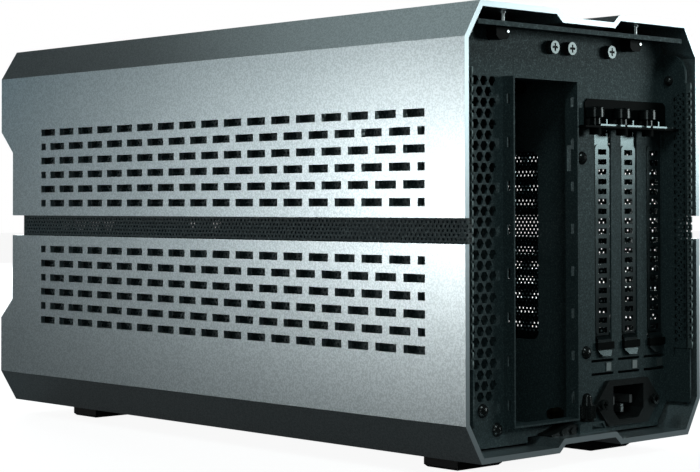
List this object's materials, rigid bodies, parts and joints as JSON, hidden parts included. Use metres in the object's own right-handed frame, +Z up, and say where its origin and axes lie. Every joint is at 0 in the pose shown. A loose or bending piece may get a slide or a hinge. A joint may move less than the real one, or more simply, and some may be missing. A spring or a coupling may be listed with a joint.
{
  "type": "mini-itx computer case",
  "caption": "Long small-board computer case: two bent aluminium shells with brick-pattern slots round a black steel chassis, open rear with board opening, slot covers and power inlet.",
  "frame": {"origin": "centre of the footprint, on the table under the feet", "axes": "+Y along the length, towards the open rear; +X towards the side nearest the board opening; +Z up"},
  "size_m": [0.171, 0.371, 0.211],
  "materials": {
    "brushed_aluminium": "bead-blasted, anodised",
    "button_aluminium": "bead-blasted, anodised",
    "perforated_steel": "black powder coat",
    "black_steel": "textured black powder coat",
    "black_plate": "smooth black",
    "black_screws": "black zinc",
    "nickel_sheet": "nickel plated",
    "bright_steel": "bright zinc",
    "brass_posts": "brass",
    "black_plastic": "fine matt",
    "soft_rubber": "matt",
    "circuit_board": "solder mask"
  },
  "bodies": {
    "case": {"lower_shell": "brushed_aluminium", "side_panel_left": "perforated_steel", "side_panel_right": "perforated_steel", "front_screen": "perforated_steel", "rear_wall": "black_steel", "rear_wing_left": "black_steel", "rear_wing_right": "black_steel", "top_plate": "black_steel", "bottom_plate": "black_steel", "front_frame": "black_steel", "board_tray": "black_steel", "standoffs": "brass_posts", "supply_bracket": "black_steel", "board_collar": "black_steel", "cover_loops": "black_plate", "bridge_plates": "nickel_sheet", "card_retainer": "black_plate", "card_thumbscrews": "black_screws", "slot_cover_1": "nickel_sheet", "slot_cover_2": "nickel_sheet", "slot_cover_3": "nickel_sheet", "power_inlet": "black_plastic", "inlet_pins": "bright_steel", "inlet_screws": "black_screws", "cross_head_screws": "bright_steel", "screw_spacers": "soft_rubber", "wall_rivets": "black_screws", "stud_catches": "black_plastic", "catch_pins": "bright_steel", "base_catch": "black_steel", "base_lever": "black_plastic", "base_thumbscrew": "black_screws", "base_screws": "black_screws", "riser_bracket": "black_steel", "riser_socket": "black_plastic", "foot_front_left": "soft_rubber", "foot_front_right": "soft_rubber", "foot_rear_left": "soft_rubber", "foot_rear_right": "soft_rubber", "control_board": "circuit_board", "type_c_socket": "bright_steel", "audio_socket": "black_plastic"},
    "upper_cover": {"upper_shell": "brushed_aluminium", "shell_studs": "bright_steel"},
    "power_key": {"power_button": "button_aluminium"}
  },
  "joints": [
    {"name": "shell_lift", "type": "slide", "parent": "case", "child": "upper_cover", "axis": [0, 0, 1], "range_m": [0, 0.06]},
    {"name": "power_press", "type": "slide", "parent": "case", "child": "power_key", "axis": [0, 1, 0], "range_m": [0, 0.001], "stiffness_N_per_m": 400, "springref_m": -0.0005}
  ]
}
